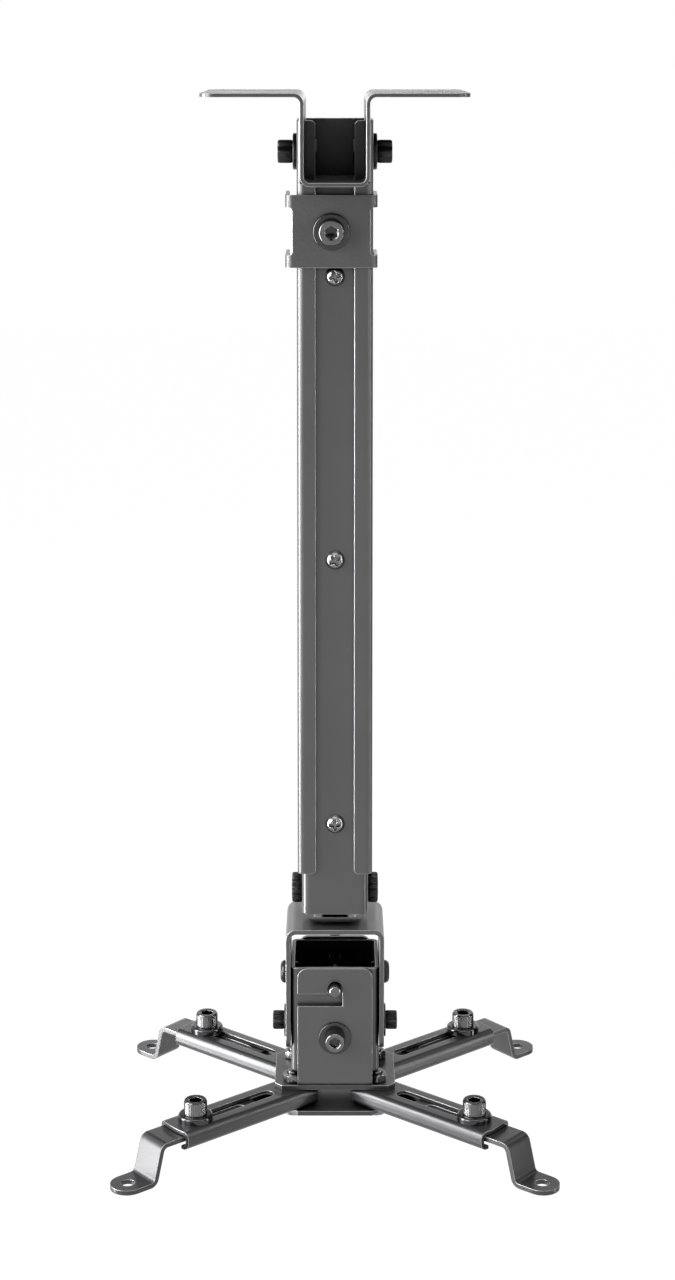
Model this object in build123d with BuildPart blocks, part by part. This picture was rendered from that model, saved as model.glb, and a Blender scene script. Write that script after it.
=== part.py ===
from build123d import *
import math
import os

os.makedirs("parts", exist_ok=True)

# Telescopic steel ceiling mount for a projector. Millimetres, +Z up, the ceiling is the plane Z = 0,
# the front of the mount faces -Y, and the column's centre line is the Z axis.

# Clearances
slide_gap = 0.3
seat_gap = 0.1
thread_gap = 0.05
running_gap = 0.05

# Column: lipped outer channel with a plain channel that slides inside it
channel_width = 32.0
channel_depth = 34.0
channel_sheet = 1.5
channel_bend = 3.0
lip_gap = 16.3
outer_top = -11.7
outer_length = 322.2
inner_top_gap = 1.4
inner_show = 18.5
inner_bend = 3.6

# Ceiling bracket: one strip folded to two flanges and a U
flange_span = 110.0
bracket_depth = 88.0
bracket_sheet = 1.6
bracket_drop = 37.8
bracket_bend = 2.6
flange_corner = 6.0
ceiling_slot_pitch_x = 78.0
ceiling_slot_pitch_y = 52.0
ceiling_slot_length = 20.0
ceiling_slot_width = 6.5
bracket_bolt_level = -25.3

# Height clamp
clamp_below = 3.4
clamp_height = 30.4
clamp_sheet = 1.5
clamp_shift = -1.5
clamp_slack = 1.8
clamp_strap = 5.2
clamp_reach = 12.0
clamp_bend = 3.2
clamp_window_corner = 1.6
clamp_face_margin = 0.3

# Swivel at the foot of the column
clevis_sheet = 2.0
clevis_height = 19.0
clevis_depth = 22.0
clevis_bend = 2.6
clevis_bolt_rise = 6.8
clevis_hang = 2.8
swivel_washer_thickness = 1.0
swivel_washer_diameter = 16.0
swivel_head_height = 4.0

# Yoke, tilt box and hub bracket
yoke_width = 42.3
yoke_depth = 36.0
yoke_sheet = 2.0
yoke_height = 53.7
yoke_bend = 2.4
yoke_end_fillet = 5.0
pivot_drop = 25.3
lock_drop = 21.9
tilt_limit = 20.0
box_sheet = 1.5
box_rise = 8.1
box_height = 45.5
box_bend = 2.6
box_inset = 0.5
hub_width = 32.2
hub_sheet = 2.0
hub_rise = 8.9
box_floor_gap = 6.6
hub_bend = 1.0
hub_corner = 4.2
hub_notch_margin = 1.2
hook_width = 6.5
hook_branch = 5.4
hook_depth = 7.8
roll_limit = 6.0
pin_diameter = 4.8
pin_proud = 4.3
pin_chamfer = 0.4

# Hub plates and arms
plate_width = 52.0
plate_depth = 36.0
plate_sheet = 2.0
lower_depth = 44.0
plate_corner = 3.0
lower_corner = 10.0
arm_pivot_x = 18.0
arm_pivot_y = 12.0
arm_angle = 40.0
arm_width = 19.0
arm_height = 7.6
arm_sheet = 1.5
arm_bend = 2.8
arm_lip = 4.0
arm_tail = 6.0
arm_reach = 65.0
arm_end_bulge = 5.0
arm_slot_start = 12.0
arm_slot_margin = 7.0
arm_slot_width = 6.4
arm_screw_inset = 12.0
foot_side_gap = 0.7
foot_sheet = 2.0
foot_lap = 44.0
foot_drop_out = 10.0
foot_drop = 15.2
foot_lean = 4.0
foot_hole_out = 13.0
foot_hole = 5.8
foot_bend = 2.0
foot_slot_inset = 6.0
foot_slot_margin = 2.0
foot_clearance = 0.45

# Fasteners: head diameter, head height, thread diameter, hexagon socket across flats
m6_head, m6_head_height, m6_thread, m6_socket = 10.8, 6.4, 6.0, 5.0
m5_head, m5_head_height, m5_thread, m5_socket = 8.5, 5.0, 5.0, 4.0
m6_washer, m6_washer_thickness = 15.4, 1.8
m5_washer, m5_washer_thickness = 14.0, 1.0
m6_nut_flats, m6_nut_height = 10.0, 5.0
m5_nut_flats, m5_nut_height = 8.0, 3.4
arm_head, arm_head_height, arm_washer, arm_washer_thickness = 9.8, 6.0, 14.6, 2.6
hub_head_height, hub_socket = 2.8, 3.0
washer_play = 0.4
bolt_end = 1.0
knob_head, knob_height = 13.0, 4.5
guide_first_drop, guide_last_rise, guide_middle_share = 3.9, 21.6, 0.5119
guide_head, guide_head_height, guide_thread, guide_length = 8.2, 2.6, 3.5, 5.0
rivet_head, rivet_head_height, rivet_shank, rivet_inner_head = 9.8, 2.6, 6.0, 1.2

# Places worked out from the sizes above
half_channel = channel_width / 2
half_depth = channel_depth / 2
leg_half = half_channel - channel_sheet - slide_gap + seat_gap
leg_inner = leg_half - bracket_sheet
outer_bottom = outer_top - outer_length
inner_top = -(bracket_drop + inner_top_gap)
inner_bottom = outer_bottom - inner_show
inner_length = inner_top - inner_bottom
clevis_bolt_level = inner_bottom + clevis_bolt_rise
inner_half = half_channel - channel_sheet - slide_gap
inner_front = -(half_depth - channel_sheet - slide_gap)
inner_web_back = inner_front + channel_sheet
inner_rear = half_depth - channel_bend
clamp_front = -(half_depth + 2 * seat_gap + clamp_sheet)
clamp_inner = half_channel + clamp_slack
clamp_top = inner_top - clamp_below
clamp_middle = clamp_top - clamp_height / 2
guide_first = clamp_top - clamp_height - guide_first_drop
guide_last = outer_bottom + guide_last_rise
guide_middle = guide_first + guide_middle_share * (guide_last - guide_first)
guide_screw_levels = (guide_first, guide_middle, guide_last)
clevis_half = inner_half - channel_sheet - 2 * seat_gap
clevis_floor = inner_bottom - clevis_hang
clevis_under = clevis_floor - clevis_sheet
yoke_top = clevis_under - swivel_washer_thickness - 2 * seat_gap
yoke_under = yoke_top - yoke_sheet
yoke_half = yoke_width / 2
yoke_inner = yoke_half - yoke_sheet
pivot_level = yoke_top - pivot_drop
lock_level = pivot_level - lock_drop
box_half_x = yoke_inner - slide_gap
box_half_y = yoke_depth / 2 - box_inset
box_top = pivot_level + box_rise
hub_top = pivot_level + hub_rise
hub_bottom = box_top - box_height - box_floor_gap
hub_inner = box_half_y + slide_gap
hub_face = hub_inner + hub_sheet
plate_under = hub_bottom - plate_sheet
arm_top = plate_under - seat_gap
arm_under = arm_top - arm_height
lower_top = arm_under - seat_gap
lower_under = lower_top - plate_sheet
foot_top = arm_top - arm_sheet - foot_clearance
foot_under = foot_top - foot_sheet
pivots = [(x * arm_pivot_x, y * arm_pivot_y) for x in (-1, 1) for y in (-1, 1)]
hub_notch = m5_nut_flats / 2 + hub_notch_margin
arm_slot_end = arm_reach - arm_slot_margin
arm_screw_at = arm_reach - arm_screw_inset
foot_width = arm_width - 2 * (arm_sheet + foot_side_gap)
foot_start = arm_reach - foot_lap
foot_slot_start = foot_start + foot_slot_inset
foot_slot_end = arm_reach - foot_slot_margin
foot_drop_at = arm_reach + foot_drop_out
foot_hole_at = foot_drop_at + foot_hole_out


def front_view(origin):
    """The plane through a point that faces the front, with +X to the right and +Z up."""
    return Plane(origin=origin, x_dir=(1, 0, 0), z_dir=(0, -1, 0))


def side_view(origin):
    """The plane through a point that faces +X, with +Y to the right and +Z up."""
    return Plane(origin=origin, x_dir=(0, 1, 0), z_dir=(1, 0, 0))


def outward(origin, side):
    """The plane through a point that faces the left side for -1 and the right side for 1."""
    return Plane(origin=origin, x_dir=(0, 1, 0), z_dir=(side, 0, 0))


def folded_strip(points, sheet, inner_bend, plane, half_length):
    """Adds a folded strip to the open part: its middle line, filleted at the folds, given a thickness."""
    with BuildSketch(plane) as profile:
        with BuildLine():
            FilletPolyline(*points, radius=inner_bend + sheet / 2)
        trace(line_width=sheet)
    extrude(profile.sketch, amount=half_length, both=True)


def through_hole(plane, diameter, depth):
    """Cuts a round hole through the open part, centred on the plane's origin."""
    with BuildSketch(plane) as hole:
        Circle(diameter / 2)
    extrude(hole.sketch, amount=depth, both=True, mode=Mode.SUBTRACT)


def save(part, label):
    part.label = label
    export_step(part, f"parts/{label}.step")


def socket_screw(plane, head, head_height, thread, length, socket):
    """A socket cap screw whose head bears on the plane and points along its normal."""
    with BuildPart() as screw:
        with BuildSketch(plane):
            Circle(head / 2)
        extrude(amount=head_height)
        chamfer(screw.faces().sort_by(lambda f: plane.to_local_coords(f.center()).Z)[-1].edges(), head * 0.06)
        with BuildSketch(plane.offset(head_height)):
            RegularPolygon(socket / 2, 6, major_radius=False)
        extrude(amount=-head_height * 0.6, mode=Mode.SUBTRACT)
        with BuildSketch(plane):
            Circle(thread / 2)
        extrude(amount=-length)
    return screw.part


def washer(plane, outer, bore, thickness):
    """A flat washer that lies on the plane, with a softened outer rim."""
    with BuildPart() as ring:
        with BuildSketch(plane):
            Circle(outer / 2)
            Circle(bore / 2, mode=Mode.SUBTRACT)
        extrude(amount=thickness)
        rim = ring.faces().sort_by(lambda f: plane.to_local_coords(f.center()).Z)[-1].outer_wire()
        fillet(rim.edges(), thickness * 0.35)
    return ring.part


def hex_nut(plane, flats, bore, height):
    """A hexagon nut that bears on the plane, with turned corners."""
    with BuildPart() as nut:
        with BuildSketch(plane):
            RegularPolygon(flats / 2, 6, major_radius=False)
            Circle(bore / 2, mode=Mode.SUBTRACT)
        extrude(amount=height)
        with BuildSketch(plane):
            Circle(flats * 0.56)
        extrude(amount=height, mode=Mode.INTERSECT)
    return nut.part


# Ceiling bracket
flange_half = flange_span / 2
bracket_line = [
    (-flange_half, -bracket_sheet / 2),
    (-(leg_half - bracket_sheet / 2), -bracket_sheet / 2),
    (-(leg_half - bracket_sheet / 2), -(bracket_drop - bracket_sheet / 2)),
    (leg_half - bracket_sheet / 2, -(bracket_drop - bracket_sheet / 2)),
    (leg_half - bracket_sheet / 2, -bracket_sheet / 2),
    (flange_half, -bracket_sheet / 2),
]
tab_slot_z = -(bracket_drop - bracket_sheet / 2)
with BuildPart() as ceiling_bracket:
    folded_strip(bracket_line, bracket_sheet, bracket_bend, Plane.XZ, bracket_depth / 2)
    corners = ceiling_bracket.edges().filter_by(Axis.Z)
    corners = corners.filter_by(lambda e: abs(e.center().X) > flange_half - 0.1)
    fillet(corners, flange_corner)
    with BuildSketch(Plane.XY):
        with GridLocations(ceiling_slot_pitch_x, ceiling_slot_pitch_y, 2, 2):
            SlotOverall(ceiling_slot_length, ceiling_slot_width)
    extrude(amount=-2 * bracket_sheet, mode=Mode.SUBTRACT)
    through_hole(side_view((0, 0, bracket_bolt_level)), m6_thread + 2 * thread_gap, half_channel)
    with BuildSketch(Plane.XY.offset(-bracket_drop - bracket_sheet)):
        for side in (-1, 1):
            slot_width = leg_inner - lip_gap / 2 + slide_gap
            with Locations((side * (leg_inner - slot_width / 2), -(half_depth - channel_sheet / 2))):
                Rectangle(slot_width, channel_sheet + 2 * slide_gap)
        with Locations((0, half_depth - channel_sheet / 2)):
            Rectangle(2 * leg_inner, channel_sheet + 2 * slide_gap)
    extrude(amount=2 * bracket_sheet + bracket_bend, mode=Mode.SUBTRACT)
save(ceiling_bracket.part, "ceiling_bracket")

# Outer channel, slit at the top so that the bracket's legs pass through and its lips stand inside the U
wall_line = half_channel - channel_sheet / 2
depth_line = half_depth - channel_sheet / 2
outer_line = [
    (-lip_gap / 2, -depth_line),
    (-wall_line, -depth_line),
    (-wall_line, depth_line),
    (wall_line, depth_line),
    (wall_line, -depth_line),
    (lip_gap / 2, -depth_line),
]
slit_depth = bracket_drop + outer_top + slide_gap
with BuildPart() as outer_channel:
    folded_strip(
        outer_line,
        channel_sheet,
        channel_bend - channel_sheet,
        Plane.XY.offset(outer_top - outer_length / 2),
        outer_length / 2,
    )
    lip_ends = outer_channel.edges().filter_by(Axis.Y)
    lip_ends = lip_ends.filter_by(lambda e: abs(abs(e.center().X) - lip_gap / 2) < 0.01)
    fillet(lip_ends, channel_sheet * 1.4)
    with BuildSketch(Plane.XY.offset(outer_top)):
        for side in (-1, 1):
            with Locations((side * (leg_half + leg_inner) / 2, 0)):
                Rectangle(bracket_sheet + 4 * seat_gap, channel_depth + 2)
    extrude(amount=-slit_depth, mode=Mode.SUBTRACT)
    through_hole(side_view((0, 0, bracket_bolt_level)), m6_thread + 2 * thread_gap, half_channel + 1)
save(outer_channel.part, "outer_channel")

# Bolts that hold the column to the bracket
bracket_washer_parts = []
bracket_nut_parts = []
for side, side_name in ((-1, "left"), (1, "right")):
    wall_plane = outward((side * half_channel, 0, bracket_bolt_level), side)
    bracket_washer_parts.append(washer(wall_plane, m6_washer, m6_thread + washer_play, m6_washer_thickness))
    bolt = socket_screw(
        wall_plane.offset(m6_washer_thickness), m6_head, m6_head_height, m6_thread,
        m6_washer_thickness + half_channel - leg_inner + m6_nut_height, m6_socket,
    )
    save(bolt, f"bracket_bolt_{side_name}")
    leg_plane = outward((side * leg_inner, 0, bracket_bolt_level), -side)
    bracket_nut_parts.append(hex_nut(leg_plane, m6_nut_flats, m6_thread + 2 * thread_gap, m6_nut_height))
save(Compound(bracket_washer_parts), "bracket_washers")
save(Compound(bracket_nut_parts), "bracket_nuts")

# Inner channel, its web to the front
inner_line = [
    (-(inner_half - channel_sheet / 2), inner_rear),
    (-(inner_half - channel_sheet / 2), inner_front + channel_sheet / 2),
    (inner_half - channel_sheet / 2, inner_front + channel_sheet / 2),
    (inner_half - channel_sheet / 2, inner_rear),
]
with BuildPart() as inner_channel:
    folded_strip(
        inner_line,
        channel_sheet,
        inner_bend - channel_sheet,
        Plane.XY.offset(inner_top - inner_length / 2),
        inner_length / 2,
    )
    for level in guide_screw_levels:
        through_hole(front_view((0, inner_front, level)), guide_thread + 2 * thread_gap, channel_sheet * 2)
    clamp_hole = front_view((clamp_shift, inner_front, clamp_middle))
    through_hole(clamp_hole, m6_thread + 2 * thread_gap, channel_sheet * 2)
    through_hole(side_view((0, 0, clevis_bolt_level)), m6_thread + 2 * thread_gap, half_channel)
save(inner_channel.part, "inner_channel")

# Pan-head screws that keep the inner channel central between the lips
guide_parts = []
for level in guide_screw_levels:
    with BuildPart() as guide_screw:
        with BuildSketch(front_view((0, inner_front, level))):
            Circle(guide_head / 2)
        extrude(amount=guide_head_height)
        fillet(guide_screw.faces().sort_by(Axis.Y)[0].edges(), guide_head_height * 0.7)
        with BuildSketch(front_view((0, inner_front - guide_head_height, level))):
            Rectangle(guide_head * 0.5, guide_head * 0.12)
            Rectangle(guide_head * 0.12, guide_head * 0.5)
        extrude(amount=-guide_head_height * 0.5, mode=Mode.SUBTRACT)
        with BuildSketch(front_view((0, inner_front, level))):
            Circle(guide_thread / 2)
        extrude(amount=-guide_length)
    guide_parts.append(guide_screw.part)
save(Compound(guide_parts), "guide_screws")

# Height clamp: a saddle with four straps round the column
clamp_line = [
    (clamp_shift - clamp_inner - clamp_sheet / 2, clamp_reach),
    (clamp_shift - clamp_inner - clamp_sheet / 2, clamp_front + clamp_sheet / 2),
    (clamp_shift + clamp_inner + clamp_sheet / 2, clamp_front + clamp_sheet / 2),
    (clamp_shift + clamp_inner + clamp_sheet / 2, clamp_reach),
]
clamp_window = clamp_height - 2 * clamp_strap
clamp_face_half = half_channel + clamp_face_margin
with BuildPart() as height_clamp:
    folded_strip(
        clamp_line, clamp_sheet, clamp_bend - clamp_sheet, Plane.XY.offset(clamp_middle), clamp_height / 2,
    )
    with BuildSketch(front_view((clamp_shift, clamp_front - 1, clamp_middle))):
        for side in (-1, 1):
            with Locations((side * (clamp_face_half + clamp_inner), 0)):
                RectangleRounded(2 * clamp_inner, clamp_window, clamp_window_corner)
    extrude(amount=-(clamp_reach - clamp_front + 2), mode=Mode.SUBTRACT)
    through_hole(clamp_hole, m6_thread + 2 * thread_gap, half_depth)
save(height_clamp.part, "height_clamp")

clamp_plane = front_view((clamp_shift, clamp_front, clamp_middle))
save(washer(clamp_plane, m6_washer, m6_thread + washer_play, m6_washer_thickness), "clamp_washer")
clamp_screw_length = m6_washer_thickness + (inner_web_back - clamp_front) + m6_nut_height
clamp_screw_plane = clamp_plane.offset(m6_washer_thickness)
save(
    socket_screw(clamp_screw_plane, m6_head, m6_head_height, m6_thread, clamp_screw_length, m6_socket),
    "clamp_screw",
)
nut_plane = Plane(origin=(clamp_shift, inner_web_back, clamp_middle), x_dir=(1, 0, 0), z_dir=(0, 1, 0))
save(hex_nut(nut_plane, m6_nut_flats, m6_thread + 2 * thread_gap, m6_nut_height), "clamp_nut")

# Clevis in the foot of the inner channel
clevis_line = [
    (-(clevis_half - clevis_sheet / 2), clevis_under + clevis_height),
    (-(clevis_half - clevis_sheet / 2), clevis_under + clevis_sheet / 2),
    (clevis_half - clevis_sheet / 2, clevis_under + clevis_sheet / 2),
    (clevis_half - clevis_sheet / 2, clevis_under + clevis_height),
]
with BuildPart() as swivel_clevis:
    folded_strip(clevis_line, clevis_sheet, clevis_bend, Plane.XZ, clevis_depth / 2)
    through_hole(side_view((0, 0, clevis_bolt_level)), m6_thread + 2 * thread_gap, half_channel)
    through_hole(Plane.XY.offset(clevis_floor), m6_thread + 2 * thread_gap, clevis_sheet * 2)
save(swivel_clevis.part, "swivel_clevis")

for side, side_name in ((-1, "left"), (1, "right")):
    side_plane = outward((side * inner_half, 0, clevis_bolt_level), side)
    knob_length = inner_half - clevis_half + clevis_sheet + bolt_end
    save(
        socket_screw(side_plane, knob_head, knob_height, m6_thread, knob_length, m6_socket),
        f"clevis_bolt_{side_name}",
    )

# Upright swivel bolt, with its head in the clevis and its nut under the yoke
with BuildPart() as swivel_bolt:
    with BuildSketch(Plane.XY.offset(clevis_floor)):
        RegularPolygon(m6_nut_flats / 2, 6, major_radius=False)
    extrude(amount=swivel_head_height)
    with BuildSketch(Plane.XY.offset(clevis_floor)):
        Circle(m6_thread / 2)
    extrude(amount=-(clevis_floor - yoke_under + seat_gap + m6_nut_height + bolt_end))
save(swivel_bolt.part, "swivel_bolt")
save(
    washer(
        Plane.XY.offset(yoke_top + seat_gap),
        swivel_washer_diameter,
        m6_thread + washer_play,
        swivel_washer_thickness,
    ),
    "swivel_washer",
)
nut_under = Plane(origin=(0, 0, yoke_under - seat_gap), x_dir=(1, 0, 0), z_dir=(0, 0, -1))
save(hex_nut(nut_under, m6_nut_flats, m6_thread + 2 * thread_gap, m6_nut_height), "swivel_nut")

# Yoke: a U that opens downwards
yoke_line = [
    (-(yoke_half - yoke_sheet / 2), yoke_top - yoke_height),
    (-(yoke_half - yoke_sheet / 2), yoke_top - yoke_sheet / 2),
    (yoke_half - yoke_sheet / 2, yoke_top - yoke_sheet / 2),
    (yoke_half - yoke_sheet / 2, yoke_top - yoke_height),
]
with BuildPart() as yoke:
    folded_strip(yoke_line, yoke_sheet, yoke_bend, Plane.XZ, yoke_depth / 2)
    leg_ends = yoke.edges().filter_by(Axis.X).group_by(Axis.Z)[0]
    fillet(leg_ends, yoke_end_fillet)
    through_hole(Plane.XY.offset(yoke_top), m6_thread + 2 * running_gap, yoke_sheet * 2)
    through_hole(side_view((0, 0, pivot_level)), rivet_shank + 2 * thread_gap, yoke_half + 1)
    through_hole(side_view((0, 0, lock_level)), m5_thread + 2 * thread_gap, yoke_half + 1)
save(yoke.part, "yoke")

# Tilt box: a short square tube that swings on two rivets and locks through two curved slots
with BuildPart() as tilt_box:
    with BuildSketch(Plane.XY.offset(box_top)):
        RectangleRounded(2 * box_half_x, 2 * box_half_y, box_bend)
        RectangleRounded(
            2 * (box_half_x - box_sheet),
            2 * (box_half_y - box_sheet),
            box_bend - box_sheet,
            mode=Mode.SUBTRACT,
        )
    extrude(amount=-box_height)
    through_hole(side_view((0, 0, pivot_level)), rivet_shank + 2 * running_gap, box_half_x + 1)
    through_hole(front_view((0, 0, pivot_level)), pin_diameter + 2 * thread_gap, box_half_y + 1)
    through_hole(front_view((0, 0, lock_level)), m5_thread + 2 * thread_gap, box_half_y + 1)
    with BuildSketch(side_view((0, 0, pivot_level))):
        with BuildLine():
            CenterArc((0, 0), lock_drop, 270 - tilt_limit - 1, 2 * tilt_limit + 2)
        trace(line_width=m5_thread + 2 * slide_gap)
        for end in (-1, 1):
            with Locations((
                end * lock_drop * math.sin(math.radians(tilt_limit + 1)),
                -lock_drop * math.cos(math.radians(tilt_limit + 1)),
            )):
                Circle(m5_thread / 2 + slide_gap)
    extrude(amount=box_half_x + 1, both=True, mode=Mode.SUBTRACT)
save(tilt_box.part, "tilt_box")

# Rivets, lock bolts, washers and nuts at the sides of the yoke
tilt_washer_parts = []
tilt_nut_parts = []
box_inner_x = box_half_x - box_sheet
for side, side_name in ((-1, "left"), (1, "right")):
    rivet_plane = outward((side * yoke_half, 0, pivot_level), side)
    with BuildPart() as rivet:
        with BuildSketch(rivet_plane):
            Circle(rivet_head / 2)
        extrude(amount=rivet_head_height)
        crown = rivet.faces().sort_by(lambda f: side * f.center().X)[-1]
        fillet(crown.edges(), rivet_head_height * 0.8)
        with BuildSketch(rivet_plane):
            Circle(rivet_shank / 2)
        extrude(amount=-(yoke_half - box_inner_x + seat_gap))
        with BuildSketch(rivet_plane.offset(-(yoke_half - box_inner_x + seat_gap))):
            Circle(rivet_shank / 2 + rivet_inner_head)
        extrude(amount=-rivet_inner_head)
    save(rivet.part, f"tilt_rivet_{side_name}")
    lock_plane = outward((side * yoke_half, 0, lock_level), side)
    tilt_washer_parts.append(washer(lock_plane, m5_washer, m5_thread + washer_play, m5_washer_thickness))
    tilt_length = m5_washer_thickness + yoke_half - box_inner_x + seat_gap + m5_nut_height
    lock_bolt = socket_screw(
        lock_plane.offset(m5_washer_thickness), m5_head, m5_head_height, m5_thread, tilt_length, m5_socket,
    )
    save(lock_bolt, f"tilt_bolt_{side_name}")
    inside = outward((side * (box_inner_x - seat_gap), 0, lock_level), -side)
    tilt_nut_parts.append(hex_nut(inside, m5_nut_flats, m5_thread + 2 * thread_gap, m5_nut_height))
save(Compound(tilt_washer_parts), "tilt_washers")
save(Compound(tilt_nut_parts), "tilt_nuts")

# Hub bracket: a U that opens upwards, with a hook slot and a lock slot in each upright
hub_line = [
    (-(hub_face - hub_sheet / 2), hub_top),
    (-(hub_face - hub_sheet / 2), hub_bottom + hub_sheet / 2),
    (hub_face - hub_sheet / 2, hub_bottom + hub_sheet / 2),
    (hub_face - hub_sheet / 2, hub_top),
]
hub_half = hub_width / 2
with BuildPart() as hub_bracket:
    folded_strip(hub_line, hub_sheet, hub_bend, Plane.YZ, hub_half)
    fillet(hub_bracket.edges().filter_by(Axis.Y).group_by(Axis.Z)[-1], hub_corner)
    with BuildSketch(front_view((0, 0, pivot_level))):
        Circle(hook_width / 2)
        with Locations((0, -hook_depth / 2)):
            Rectangle(hook_width, hook_depth)
        with Locations((-(hub_half - hook_width / 2) / 2 - 1, -hook_depth + hook_branch / 2)):
            Rectangle(hub_half + hook_width / 2 + 2, hook_branch)
    extrude(amount=hub_face + 1, both=True, mode=Mode.SUBTRACT)
    with BuildSketch(front_view((0, 0, lock_level))):
        lock_swing = lock_drop * math.sin(math.radians(roll_limit))
        SlotOverall(m5_thread + 2 * slide_gap + 2 * lock_swing, m5_thread + 4 * slide_gap)
    extrude(amount=hub_face + 1, both=True, mode=Mode.SUBTRACT)
    with BuildSketch(Plane.XY.offset(hub_bottom)):
        with Locations(*pivots):
            Circle(hub_notch)
    extrude(amount=hub_sheet, mode=Mode.SUBTRACT)
save(hub_bracket.part, "hub_bracket")

# Cross pin and roll locks, carried by the tilt box
with BuildPart() as cross_pin:
    with BuildSketch(front_view((0, 0, pivot_level))):
        Circle(pin_diameter / 2)
    extrude(amount=hub_face + pin_proud, both=True)
    chamfer(cross_pin.edges().filter_by(GeomType.CIRCLE), pin_chamfer)
save(cross_pin.part, "cross_pin")

roll_nut_parts = []
box_inner_y = box_half_y - box_sheet
for side, side_name in ((-1, "front"), (1, "rear")):
    face_point = (0, side * (hub_face + seat_gap), lock_level)
    face_plane = Plane(origin=face_point, x_dir=(1, 0, 0), z_dir=(0, side, 0))
    save(
        washer(face_plane, m5_washer, m5_thread + washer_play, m5_washer_thickness),
        f"roll_washer_{side_name}",
    )
    roll_length = m5_washer_thickness + hub_face + seat_gap - box_inner_y + m5_nut_height
    roll_bolt = socket_screw(
        face_plane.offset(m5_washer_thickness), m5_head, m5_head_height, m5_thread, roll_length, m5_socket,
    )
    save(roll_bolt, f"roll_bolt_{side_name}")
    inside = Plane(origin=(0, side * box_inner_y, lock_level), x_dir=(1, 0, 0), z_dir=(0, -side, 0))
    roll_nut_parts.append(hex_nut(inside, m5_nut_flats, m5_thread + 2 * thread_gap, m5_nut_height))
save(Compound(roll_nut_parts), "roll_nuts")

# Hub plates that hold the arms between them
with BuildPart() as hub_plate:
    with BuildSketch(Plane.XY.offset(hub_bottom)):
        Rectangle(plate_width, plate_depth)
        chamfer(vertices(), plate_corner)
        with Locations(*pivots):
            Circle(m5_thread / 2 + thread_gap, mode=Mode.SUBTRACT)
    extrude(amount=-plate_sheet)
save(hub_plate.part, "hub_plate")

with BuildPart() as lower_plate:
    with BuildSketch(Plane.XY.offset(lower_top)):
        Rectangle(plate_width, lower_depth)
        chamfer(vertices(), lower_corner)
        with Locations(*pivots):
            Circle(m5_thread / 2 + thread_gap, mode=Mode.SUBTRACT)
    extrude(amount=-plate_sheet)
save(lower_plate.part, "lower_plate")

hub_screw_parts = []
hub_nut_parts = []
for x, y in pivots:
    under = Plane(origin=(x, y, lower_under), x_dir=(1, 0, 0), z_dir=(0, 0, -1))
    screw_length = hub_bottom - lower_under + m5_nut_height + bolt_end
    hub_screw_parts.append(socket_screw(under, m5_head, hub_head_height, m5_thread, screw_length, hub_socket))
    hub_nut_parts.append(
        hex_nut(Plane(origin=(x, y, hub_bottom), x_dir=(1, 0, 0), z_dir=(0, 0, 1)), m5_nut_flats,
                m5_thread + 2 * thread_gap, m5_nut_height)
    )
save(Compound(hub_screw_parts), "hub_screws")
save(Compound(hub_nut_parts), "hub_nuts")

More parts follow.
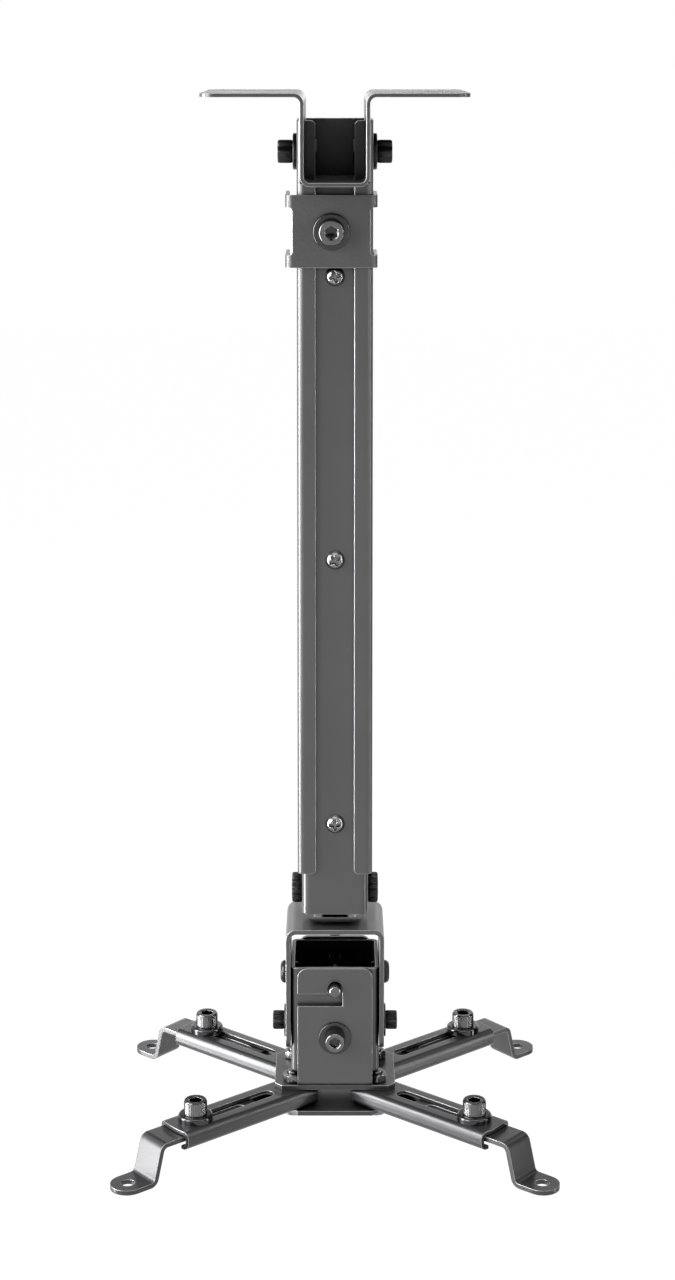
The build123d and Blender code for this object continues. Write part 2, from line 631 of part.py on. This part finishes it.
# Arms and feet: each is modelled along its own slot and turned to its place round its pivot
arm_names = {(-1, -1): "front_left", (1, -1): "front_right", (-1, 1): "rear_left", (1, 1): "rear_right"}
foot_end = foot_hole_at + foot_width / 2
for (side_x, side_y), arm_name in arm_names.items():
    along = Vector(
        side_x * math.cos(math.radians(arm_angle)), side_y * math.sin(math.radians(arm_angle)), 0
    )
    pivot = (side_x * arm_pivot_x, side_y * arm_pivot_y, arm_top)
    flat = Plane(origin=pivot, x_dir=along, z_dir=(0, 0, 1))
    upright = Plane(origin=pivot, x_dir=along, z_dir=along.cross(Vector(0, 0, 1)))
    section = Plane(origin=pivot, x_dir=Vector(0, 0, 1).cross(along), z_dir=along)
    half = arm_width / 2 - arm_sheet / 2
    arm_line = [
        (-(half + arm_sheet / 2 - arm_lip), -(arm_height - arm_sheet / 2)),
        (-half, -(arm_height - arm_sheet / 2)),
        (-half, -arm_sheet / 2),
        (half, -arm_sheet / 2),
        (half, -(arm_height - arm_sheet / 2)),
        (half + arm_sheet / 2 - arm_lip, -(arm_height - arm_sheet / 2)),
    ]
    with BuildPart() as arm:
        folded_strip(arm_line, arm_sheet, arm_bend - arm_sheet, section.offset((arm_reach - arm_tail) / 2),
                     (arm_reach + arm_tail) / 2)
        with BuildSketch(flat):
            with BuildLine():
                tail = Polyline(
                    (arm_reach - arm_end_bulge, arm_width), (-arm_tail, arm_width), (-arm_tail, -arm_width),
                    (arm_reach - arm_end_bulge, -arm_width),
                )
                ThreePointArc(tail @ 1, (arm_reach, 0), tail @ 0)
            make_face()
        extrude(amount=-arm_height, mode=Mode.INTERSECT)
        with BuildSketch(flat.offset(-arm_height)):
            with Locations(((arm_slot_start + arm_slot_end) / 2, 0)):
                SlotOverall(arm_slot_end - arm_slot_start, arm_slot_width)
            Circle(m5_thread / 2 + running_gap)
        extrude(amount=arm_height + 1, mode=Mode.SUBTRACT)
    save(arm.part, f"arm_{arm_name}")

    mid = foot_top - foot_sheet / 2 - arm_top
    foot_line = [
        (foot_start, mid),
        (foot_drop_at, mid),
        (foot_drop_at + foot_lean, mid - foot_drop),
        (foot_end, mid - foot_drop),
    ]
    with BuildPart() as foot:
        folded_strip(foot_line, foot_sheet, foot_bend, upright, foot_width / 2)
        with BuildSketch(flat):
            with Locations(((foot_start + foot_hole_at) / 2, 0)):
                Rectangle(foot_hole_at - foot_start, foot_width)
            with Locations((foot_hole_at, 0)):
                Circle(foot_width / 2)
                Circle(foot_hole / 2, mode=Mode.SUBTRACT)
            with Locations(((foot_slot_start + foot_slot_end) / 2, 0)):
                SlotOverall(foot_slot_end - foot_slot_start, m5_thread + 2 * slide_gap, mode=Mode.SUBTRACT)
        extrude(amount=-(arm_height + foot_drop + foot_sheet), mode=Mode.INTERSECT)
    save(foot.part, f"foot_{arm_name}")

    on_arm = Plane(origin=flat.from_local_coords((arm_screw_at, 0, 0)), x_dir=along, z_dir=(0, 0, 1))
    save(washer(on_arm, arm_washer, m5_thread + washer_play, arm_washer_thickness), f"arm_washer_{arm_name}")
    clamp_length = arm_washer_thickness + arm_top - foot_under + seat_gap + m5_nut_height
    save(
        socket_screw(
            on_arm.offset(arm_washer_thickness),
            arm_head,
            arm_head_height,
            m5_thread,
            clamp_length,
            m6_socket,
        ),
        f"arm_screw_{arm_name}",
    )
    below = Plane(
        origin=on_arm.origin + Vector(0, 0, foot_under - seat_gap - arm_top), x_dir=along, z_dir=(0, 0, -1)
    )
    save(hex_nut(below, m5_nut_flats, m5_thread + 2 * thread_gap, m5_nut_height), f"arm_nut_{arm_name}")
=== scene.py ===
import math
import bpy
from mathutils import Matrix, Vector


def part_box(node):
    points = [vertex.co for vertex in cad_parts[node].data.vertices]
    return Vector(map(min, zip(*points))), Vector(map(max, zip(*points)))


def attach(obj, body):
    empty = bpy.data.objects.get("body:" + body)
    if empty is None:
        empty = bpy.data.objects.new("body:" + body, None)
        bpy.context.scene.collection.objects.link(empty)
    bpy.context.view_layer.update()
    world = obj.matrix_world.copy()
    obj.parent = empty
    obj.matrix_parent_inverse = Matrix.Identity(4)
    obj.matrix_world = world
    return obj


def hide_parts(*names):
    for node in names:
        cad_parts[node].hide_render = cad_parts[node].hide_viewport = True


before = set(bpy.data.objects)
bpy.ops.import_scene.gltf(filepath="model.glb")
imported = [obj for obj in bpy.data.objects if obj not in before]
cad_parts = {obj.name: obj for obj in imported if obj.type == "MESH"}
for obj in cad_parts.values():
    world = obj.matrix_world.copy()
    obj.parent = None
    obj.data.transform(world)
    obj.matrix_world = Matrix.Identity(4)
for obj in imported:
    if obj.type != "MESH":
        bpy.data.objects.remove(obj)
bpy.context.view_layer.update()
MM = 0.001

# Camera: the photograph's viewpoint, about 1 m in front and a little above the ceiling plane
LENS = 68.2
SENSOR = 36.0
CAMERA_PLACE = (0.0, -1.024, 0.020)
CAMERA_PITCH = 6.06
SHIFT_X = 0.002
SHIFT_Y = -0.265

camera_data = bpy.data.cameras.new("camera")
camera_data.lens = LENS
camera_data.sensor_width = SENSOR
camera_data.sensor_fit = "AUTO"
camera_data.shift_x = SHIFT_X
camera_data.shift_y = SHIFT_Y
camera = bpy.data.objects.new("camera", camera_data)
camera.location = CAMERA_PLACE
camera.rotation_euler = (math.radians(90 - CAMERA_PITCH), 0, 0)
bpy.context.scene.collection.objects.link(camera)
bpy.context.scene.camera = camera
bpy.context.scene.view_settings.view_transform = "Standard"


# Materials
COAT_ROUGHNESS = 0.22
GRAIN_DEPTH = 0.12 * MM
CLOUD_SCALE = 34.0
CLOUD_GLOSS = 0.05
CLOUD_TINT = 0.08
# Scale of the noise that breaks up the painted edge highlight.
HIGHLIGHT_SPOT_SCALE = 240.0
# Reach of the painted shade in hollows.
HOLLOW_SHADE_REACH = 40 * MM
SOFT_SAMPLES = 8


def node_tree(name):
    """A new material, its node tree and its shader."""
    material = bpy.data.materials.new(name)
    material.use_nodes = True
    tree = material.node_tree
    return material, tree, tree.nodes["Principled BSDF"]


def ranged(tree, value, low, high, to_low, to_high):
    """A Map Range node fed by a socket."""
    node = tree.nodes.new("ShaderNodeMapRange")
    node.inputs["From Min"].default_value = low
    node.inputs["From Max"].default_value = high
    node.inputs["To Min"].default_value = to_low
    node.inputs["To Max"].default_value = to_high
    tree.links.new(value, node.inputs["Value"])
    return node.outputs["Result"]


def noise(tree, scale, detail=3.0):
    """Noise in the object's own coordinates, in metres."""
    place = tree.nodes.new("ShaderNodeTexCoord")
    texture = tree.nodes.new("ShaderNodeTexNoise")
    texture.inputs["Scale"].default_value = scale
    texture.inputs["Detail"].default_value = detail
    tree.links.new(place.outputs["Object"], texture.inputs["Vector"])
    return texture.outputs["Fac"]


def metal(name, base, edge_highlight_color, metallic, rough, grain, grain_scale, round_mm=0.35, coat=0.0, edge_highlight_share=0.6):
    """A metal finish with softened edges, a painted highlight along its edges, painted shade in its hollows,
    cloudy gloss and a fine grain.
    """
    material, tree, shader = node_tree(name)
    links = tree.links
    shader.inputs["Metallic"].default_value = metallic
    shader.inputs["Coat Weight"].default_value = coat
    shader.inputs["Coat Roughness"].default_value = COAT_ROUGHNESS
    rounded = tree.nodes.new("ShaderNodeBevel")
    rounded.samples = SOFT_SAMPLES
    rounded.inputs["Radius"].default_value = round_mm * MM
    fine = noise(tree, grain_scale)
    bump = tree.nodes.new("ShaderNodeBump")
    bump.inputs["Strength"].default_value = grain
    bump.inputs["Distance"].default_value = GRAIN_DEPTH
    links.new(fine, bump.inputs["Height"])
    links.new(rounded.outputs["Normal"], bump.inputs["Normal"])
    links.new(bump.outputs["Normal"], shader.inputs["Normal"])
    clouds = noise(tree, CLOUD_SCALE, 4.0)
    gloss = ranged(tree, clouds, 0.3, 0.7, rough - CLOUD_GLOSS, rough + CLOUD_GLOSS)
    links.new(gloss, shader.inputs["Roughness"])
    geometry = tree.nodes.new("ShaderNodeNewGeometry")
    dot = tree.nodes.new("ShaderNodeVectorMath")
    dot.operation = "DOT_PRODUCT"
    links.new(rounded.outputs["Normal"], dot.inputs[0])
    links.new(geometry.outputs["True Normal"], dot.inputs[1])
    # Painted highlight: where the rounded normal turns away from the true normal, the base colour is
    # lightened towards the edge colour, broken up by fine noise.
    highlight_rim = ranged(tree, dot.outputs["Value"], 0.985, 0.86, 0.0, edge_highlight_share)
    highlight_spots = ranged(tree, noise(tree, HIGHLIGHT_SPOT_SCALE, 5.0), 0.35, 0.6, 0.75, 1.0)
    strength = tree.nodes.new("ShaderNodeMath")
    strength.operation = "MULTIPLY"
    links.new(highlight_rim, strength.inputs[0])
    links.new(highlight_spots, strength.inputs[1])
    mottle = tree.nodes.new("ShaderNodeMix")
    mottle.data_type = "RGBA"
    mottle.inputs["A"].default_value = (*[c * (1 - CLOUD_TINT) for c in base], 1)
    mottle.inputs["B"].default_value = (*[c * (1 + CLOUD_TINT) for c in base], 1)
    links.new(clouds, mottle.inputs["Factor"])
    # Painted shade: ambient occlusion darkens the base colour in hollows, corners and between parts.
    hollow_shade = tree.nodes.new("ShaderNodeAmbientOcclusion")
    hollow_shade.samples = SOFT_SAMPLES
    hollow_shade.inputs["Distance"].default_value = HOLLOW_SHADE_REACH
    shade = tree.nodes.new("ShaderNodeVectorMath")
    shade.operation = "SCALE"
    links.new(mottle.outputs["Result"], shade.inputs[0])
    links.new(ranged(tree, hollow_shade.outputs["AO"], 0.15, 0.62, 0.04, 1.0), shade.inputs["Scale"])
    # Mixes the painted edge highlight into the base colour.
    edge_highlight_mix = tree.nodes.new("ShaderNodeMix")
    edge_highlight_mix.data_type = "RGBA"
    edge_highlight_mix.inputs["B"].default_value = (*edge_highlight_color, 1)
    links.new(shade.outputs["Vector"], edge_highlight_mix.inputs["A"])
    links.new(strength.outputs["Value"], edge_highlight_mix.inputs["Factor"])
    links.new(edge_highlight_mix.outputs["Result"], shader.inputs["Base Color"])
    return material


# Each finish's edge colour and its share set the painted highlight along its edges.
paint = metal(
    "graphite_paint", base=(0.090, 0.090, 0.092), edge_highlight_color=(0.42, 0.42, 0.43), metallic=0.72, rough=0.34,
    grain=0.22, grain_scale=1500.0, round_mm=0.55, coat=0.10, edge_highlight_share=0.95,
)
arm_paint = metal(
    "arm_paint", base=(0.055, 0.055, 0.057), edge_highlight_color=(0.42, 0.42, 0.43), metallic=0.72, rough=0.32,
    grain=0.22, grain_scale=1500.0, round_mm=0.5, coat=0.10, edge_highlight_share=0.95,
)
clamp_paint = metal(
    "clamp_paint", base=(0.088, 0.088, 0.090), edge_highlight_color=(0.40, 0.40, 0.41), metallic=0.70, rough=0.36,
    grain=0.70, grain_scale=1100.0, round_mm=0.5, coat=0.10, edge_highlight_share=0.9,
)
nickel = metal(
    "dark_nickel", base=(0.14, 0.14, 0.143), edge_highlight_color=(0.60, 0.60, 0.61), metallic=0.95, rough=0.18,
    grain=0.06, grain_scale=2400.0, round_mm=0.15,
)
chrome = metal(
    "dark_chrome", base=(0.060, 0.060, 0.062), edge_highlight_color=(0.60, 0.60, 0.61), metallic=0.95, rough=0.15,
    grain=0.06, grain_scale=2400.0, round_mm=0.2,
)
zinc = metal(
    "bright_zinc", base=(0.20, 0.20, 0.205), edge_highlight_color=(0.70, 0.70, 0.71), metallic=0.95, rough=0.20,
    grain=0.08, grain_scale=2000.0, round_mm=0.15,
)
black = metal(
    "black_steel", base=(0.012, 0.012, 0.013), edge_highlight_color=(0.20, 0.20, 0.21), metallic=0.55, rough=0.28,
    grain=0.08, grain_scale=2000.0, round_mm=0.15,
)

finishes = [
    (clamp_paint, ("height_clamp",)),
    (arm_paint, ("arm_front_", "arm_rear_", "foot_", "hub_plate", "lower_plate")),
    (nickel, ("clamp_screw", "roll_bolt", "cross_pin")),
    (chrome, ("arm_screw", "arm_washer", "clamp_washer", "roll_washer")),
    (zinc, ("guide_screws", "swivel_bolt", "swivel_nut", "swivel_washer", "swivel_clevis", "hub_nuts",
            "hub_screws")),
    (black, ("bracket_bolt", "bracket_washers", "bracket_nuts", "clevis_bolt", "tilt_bolt", "tilt_washers",
             "tilt_nuts", "tilt_rivet", "roll_nuts", "clamp_nut", "arm_nut")),
]


def finish_of(node):
    """The finish of a CAD node, by the start of its name."""
    for finish, starts in finishes:
        if node.startswith(starts):
            return finish
    return paint


for node_name, node_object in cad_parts.items():
    for place in node_object.material_slots:
        place.material = finish_of(node_name)


# Turned and pressed pieces, each a stack of rings round its own axis
TURNS = 144
SHARP_ANGLE = 32


def round_ring(radius, level):
    """A circle of points at a level."""
    return [(radius * math.cos(2 * math.pi * i / TURNS), radius * math.sin(2 * math.pi * i / TURNS), level)
            for i in range(TURNS)]


def ridged_ring(radius, level, ridges, depth):
    """A circle with even dips, for a knurl or lobes."""
    ring = []
    for i in range(TURNS):
        a = 2 * math.pi * i / TURNS
        r = radius - depth * (0.5 - 0.5 * math.cos(ridges * a))
        ring.append((r * math.cos(a), r * math.sin(a), level))
    return ring


def hex_ring(flats, level, limit=1.0):
    """A hexagon whose corners are turned down to a limit."""
    ring = []
    for i in range(TURNS):
        a = 2 * math.pi * i / TURNS
        r = min(flats / 2 / math.cos((a + math.pi / 6) % (math.pi / 3) - math.pi / 6), limit)
        ring.append((r * math.cos(a), r * math.sin(a), level))
    return ring


def thread_rings(radius, low, high, pitch=0.8 * MM):
    """Rings from low to high that look like a thread."""
    rings = []
    steps = max(2, int((high - low) / (pitch / 2)))
    for i in range(steps + 1):
        rings.append(round_ring(radius - (0.0 if i % 2 else 0.3 * MM), low + (high - low) * i / steps))
    return rings


def add_rings(vertices, faces, rings, matrix):
    """Adds the faces between the rings, and closes both ends."""
    start = len(vertices)
    for ring in rings:
        vertices.extend(matrix @ Vector(p) for p in ring)
    for k in range(len(rings) - 1):
        a, b = start + k * TURNS, start + (k + 1) * TURNS
        for i in range(TURNS):
            j = (i + 1) % TURNS
            faces.append((a + i, a + j, b + j, b + i))
    end = start + (len(rings) - 1) * TURNS
    faces.append(tuple(start + i for i in reversed(range(TURNS))))
    faces.append(tuple(end + i for i in range(TURNS)))


def facing(place, axis, spin=0.0):
    """The matrix that puts a piece's foot at a place with its own +Z along an axis."""
    turn = Vector(axis).to_track_quat("Z", "Y").to_matrix().to_4x4()
    return Matrix.Translation(Vector(place)) @ turn @ Matrix.Rotation(spin, 4, "Z")


def piece(name, body, node, stacks, material):
    """One mesh from several stacks of rings, which takes a CAD node's place."""
    vertices, faces = [], []
    for rings, matrix in stacks:
        add_rings(vertices, faces, rings, matrix)
    mesh = bpy.data.meshes.new(name)
    mesh.from_pydata([tuple(v) for v in vertices], [], faces)
    mesh.materials.append(material)
    mesh.polygons.foreach_set("use_smooth", [True] * len(mesh.polygons))
    mesh.set_sharp_from_angle(angle=math.radians(SHARP_ANGLE))
    obj = bpy.data.objects.new(name, mesh)
    bpy.context.scene.collection.objects.link(obj)
    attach(obj, body)
    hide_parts(node)
    return obj


def cap_screw(head, height, thread, length, socket, ridges=36, depth=0.22 * MM):
    """Rings of a knurled socket cap screw, from the end of its thread to the floor of its socket."""
    r = head / 2
    corner = socket / 2 / math.cos(math.pi / 6)
    rings = [round_ring(thread / 2 - 0.5 * MM, -length)]
    rings += thread_rings(thread / 2, -length + 0.4 * MM, 0.0)
    rings += [
        round_ring(thread / 2, 0), round_ring(r * 0.95, 0), round_ring(r * 0.985, 0.2 * MM),
        ridged_ring(r, 0.45 * MM, ridges, depth), ridged_ring(r, height - 0.8 * MM, ridges, depth),
        round_ring(r * 0.975, height - 0.6 * MM), round_ring(r * 0.95, height - 0.25 * MM),
        round_ring(r * 0.89, height), round_ring(corner * 1.1, height),
        round_ring(corner * 1.03, height - 0.15 * MM), hex_ring(socket, height - 0.35 * MM),
        hex_ring(socket, height * 0.42), round_ring(socket * 0.2, height * 0.36),
    ]
    return rings


def knob(head, height, thread, length, socket, lobes=9, dip=1.3 * MM):
    """Rings of a bolt with a lobed head."""
    r = head / 2
    rings = [round_ring(thread / 2, -length), round_ring(thread / 2, 0), round_ring(r * 0.86, 0)]
    rings += [ridged_ring(r * k, level, lobes, dip) for k, level in
              ((0.95, 0.1 * MM), (1.0, 0.7 * MM), (1.0, height - 0.8 * MM), (0.94, height - 0.15 * MM))]
    rings += [
        round_ring(r * 0.74, height), round_ring(socket * 0.66, height), hex_ring(socket, height - 0.4 * MM),
        hex_ring(socket, height * 0.4), round_ring(socket * 0.2, height * 0.36),
    ]
    return rings


def nut(flats, bore, height):
    """Rings of a hexagon nut that is chamfered at both ends, with its bore filled by the screw's end."""
    corner = flats * 0.56
    return [
        round_ring(bore / 2, 0), round_ring(flats * 0.47, 0), hex_ring(flats, height * 0.12, corner),
        hex_ring(flats, height * 0.86, corner), round_ring(flats * 0.47, height),
        round_ring(bore / 2 + 0.3 * MM, height), round_ring(bore / 2, height - 0.3 * MM),
    ]


M6 = dict(head=10.8 * MM, height=6.4 * MM, thread=6 * MM, socket=5 * MM)
M5 = dict(head=8.5 * MM, height=5 * MM, thread=5 * MM, socket=4 * MM)
ARM = dict(head=9.8 * MM, height=6 * MM, thread=5 * MM, socket=5 * MM)
CLEVIS = dict(head=13 * MM, height=4.5 * MM, thread=6 * MM, socket=5 * MM)


def screw_on(node, body, axis, size, material, slot, shape=cap_screw, **extra):
    """A screw that takes the place and the length of a CAD screw with the same axis."""
    low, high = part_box(node)
    middle = (low + high) / 2
    direction = Vector(axis)
    k = max(range(3), key=lambda i: abs(direction[i]))
    whole = high[k] - low[k]
    top = high[k] if direction[k] > 0 else low[k]
    foot = middle.copy()
    foot[k] = top - direction[k] * size["height"]
    rings = shape(length=whole - size["height"], **size, **extra)
    return piece(node + "_screw", body, node, [(rings, facing(foot, axis))], material)


for side_name, axis in (("left", (-1, 0, 0)), ("right", (1, 0, 0))):
    screw_on(f"bracket_bolt_{side_name}", "frame", axis, M6, black, "black_steel", knob,
             lobes=6, dip=1.1 * MM)
    screw_on(f"tilt_bolt_{side_name}", "swivel", axis, M5, black, "black_steel", knob,
             lobes=8, dip=0.8 * MM)
    screw_on(f"clevis_bolt_{side_name}", "mast", axis, CLEVIS, black, "black_steel", knob)
screw_on("clamp_screw", "mast", (0, -1, 0), M6, nickel, "nickel_steel")
for side_name, axis in (("front", (0, -1, 0)), ("rear", (0, 1, 0))):
    screw_on(f"roll_bolt_{side_name}", "cradle", axis, M5, nickel, "nickel_steel")
for corner_name in ("front_left", "front_right", "rear_left", "rear_right"):
    screw_on(f"arm_screw_{corner_name}", f"arm_{corner_name}_body", (0, 0, 1), ARM, chrome, "nickel_steel")

PIVOT_X, PIVOT_Y = 18 * MM, 12 * MM
HUB_BOTTOM = -427.7 * MM
HUB_NUT_TURN_X, HUB_NUT_TURN_Y = 0.3, 0.2
SWIVEL_NUT_TURN = 0.2
hub_nut_rings = nut(8 * MM, 5 * MM, 3.4 * MM)
piece("hub_nut_set", "hub", "hub_nuts",
      [(hub_nut_rings, facing((x * PIVOT_X, y * PIVOT_Y, HUB_BOTTOM), (0, 0, 1),
                              HUB_NUT_TURN_X * x + HUB_NUT_TURN_Y * y))
       for x in (-1, 1) for y in (-1, 1)], zinc)
_, swivel_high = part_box("swivel_nut")
swivel_nut_foot = facing((0, 0, swivel_high.z), (0, 0, -1), SWIVEL_NUT_TURN)
piece("swivel_nut_turned", "mast", "swivel_nut",
      [(nut(10 * MM, 6 * MM, 5 * MM), swivel_nut_foot)], zinc)


# Pan-head screws with a cross recess
def pan_head(radius, height, shank, length):
    """Rings of a domed head whose cross recess is pressed into the dome."""
    rings = [round_ring(shank / 2, -length), round_ring(shank / 2, 0), round_ring(radius * 0.98, 0)]
    steps = 16
    for k in range(steps + 1):
        share = 1 - k / steps * 0.985
        ring = []
        for i in range(TURNS):
            a = 2 * math.pi * i / TURNS + math.pi / 4
            r = radius * share
            x, y = r * math.cos(a), r * math.sin(a)
            level = height * (1 - share ** 3.2) + 0.25 * MM * share
            arm = min(abs(x), abs(y))
            width = 0.09 * radius * 2
            reach = 0.62 * radius
            across = max(0.0, min(1.0, (width - arm) / (0.35 * width)))
            outward = max(0.0, min(1.0, (reach - r) / (0.2 * reach)))
            inside = across * outward
            ring.append((x, y, min(level, height) - inside * height * 0.55))
        rings.append(ring)
    return rings


guide_low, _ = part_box("guide_screws")
GUIDE_LEVELS = (-76.9 * MM, -197.4 * MM, -312.3 * MM)
guide_foot = guide_low.y + 2.6 * MM
guide_rings = pan_head(4.1 * MM, 2.55 * MM, 3.5 * MM, 4.9 * MM)
piece("guide_screw_set", "mast", "guide_screws",
      [(guide_rings, facing((0, guide_foot, level), (0, -1, 0), turn))
       for level, turn in zip(GUIDE_LEVELS, (0.3, 0.55, 0.05))], zinc)


# Floor, world and lamps
def background_ray(tree):
    """1 for camera, glossy and transmission rays."""
    path = tree.nodes.new("ShaderNodeLightPath")
    first = tree.nodes.new("ShaderNodeMath")
    first.operation = "MAXIMUM"
    second = tree.nodes.new("ShaderNodeMath")
    second.operation = "MAXIMUM"
    tree.links.new(path.outputs["Is Camera Ray"], first.inputs[0])
    tree.links.new(path.outputs["Is Glossy Ray"], first.inputs[1])
    tree.links.new(first.outputs["Value"], second.inputs[0])
    tree.links.new(path.outputs["Is Transmission Ray"], second.inputs[1])
    return second.outputs["Value"]


FLOOR_LEVEL = -0.80
FLOOR_HALF = 6.0
FLOOR_GLOW = 1.05
FLOOR_GLOW_SHARE = 0.93
floor_mesh = bpy.data.meshes.new("floor")
floor_corners = [(x * FLOOR_HALF, y * FLOOR_HALF, FLOOR_LEVEL)
                 for x, y in ((-1, -1), (1, -1), (1, 1), (-1, 1))]
floor_mesh.from_pydata(floor_corners, [], [(0, 1, 2, 3)])
floor = bpy.data.objects.new("floor", floor_mesh)
bpy.context.scene.collection.objects.link(floor)
floor_material, floor_tree, floor_shader = node_tree("pale_floor")
floor_shader.inputs["Base Color"].default_value = (0.9, 0.9, 0.9, 1)
floor_shader.inputs["Roughness"].default_value = 0.8
glow = floor_tree.nodes.new("ShaderNodeEmission")
glow.inputs["Strength"].default_value = FLOOR_GLOW
floor_mix = floor_tree.nodes.new("ShaderNodeMixShader")
share = ranged(floor_tree, background_ray(floor_tree), 0, 1, 0, FLOOR_GLOW_SHARE)
floor_tree.links.new(share, floor_mix.inputs["Fac"])
floor_tree.links.new(floor_shader.outputs["BSDF"], floor_mix.inputs[1])
floor_tree.links.new(glow.outputs["Emission"], floor_mix.inputs[2])
floor_tree.links.new(floor_mix.outputs["Shader"], floor_tree.nodes["Material Output"].inputs["Surface"])
floor_mesh.materials.append(floor_material)

world = bpy.data.worlds.new("studio")
bpy.context.scene.world = world
world.use_nodes = True
sky = world.node_tree.nodes["Background"]
sky.inputs["Color"].default_value = (1, 1, 1, 1)
AMBIENT = 0.22
world.node_tree.links.new(ranged(world.node_tree, background_ray(world.node_tree), 0, 1, AMBIENT, 1.0),
                          sky.inputs["Strength"])


def lamp(name, place, target, width, height, power):
    """A rectangular lamp that the camera doesn't see, turned to a target."""
    data = bpy.data.lights.new(name, "AREA")
    data.shape = "RECTANGLE"
    data.size, data.size_y, data.energy = width, height, power
    obj = bpy.data.objects.new(name, data)
    obj.location = place
    aim = Vector(target) - Vector(place)
    obj.rotation_euler = aim.to_track_quat("-Z", "Y").to_euler()
    obj.visible_camera = False
    bpy.context.scene.collection.objects.link(obj)


lamp("key_left", (-1.0, -0.8, 0.25), (0, 0, -0.22), 0.6, 1.1, 20)
lamp("strip_left", (-0.9, -0.1, -0.2), (0, 0, -0.22), 0.3, 1.2, 26)
lamp("top", (0.0, -0.1, 1.1), (0, 0, -0.2), 0.9, 0.9, 6)
lamp("fill_right", (1.2, -0.9, 0.0), (0, 0, -0.25), 0.8, 1.0, 4)
lamp("strip_right", (0.72, -0.12, -0.2), (0, 0, -0.22), 0.06, 1.1, 3)
lamp("rim_back", (0, 1.7, 0.12), (0, 0, 0), 2.2, 0.18, 2.5)


def flag(name, corners):
    """A black card that only gloss sees, as studios use to darken one side of bright metal."""
    mesh = bpy.data.meshes.new(name)
    mesh.from_pydata(corners, [], [(0, 1, 2, 3)])
    obj = bpy.data.objects.new(name, mesh)
    bpy.context.scene.collection.objects.link(obj)
    card, _, card_shader = node_tree(name)
    card_shader.inputs["Base Color"].default_value = (0.004, 0.004, 0.004, 1)
    card_shader.inputs["Specular IOR Level"].default_value = 0.0
    mesh.materials.append(card)
    obj.visible_camera = False
    obj.visible_diffuse = False
    obj.visible_shadow = False


flag("flag_right", [(0.8, -0.55, -0.95), (0.8, 0.6, -0.95), (0.8, 0.6, 0.4), (0.8, -0.55, 0.4)])
flag("flag_front", [(-0.45, -1.6, -0.05), (0.75, -1.6, -0.05), (0.75, -1.6, 0.4), (-0.45, -1.6, 0.4)])
flag("flag_back", [(-0.9, 1.6, 0.30), (0.9, 1.6, 0.30), (0.9, 1.2, 1.7), (-0.9, 1.2, 1.7)])
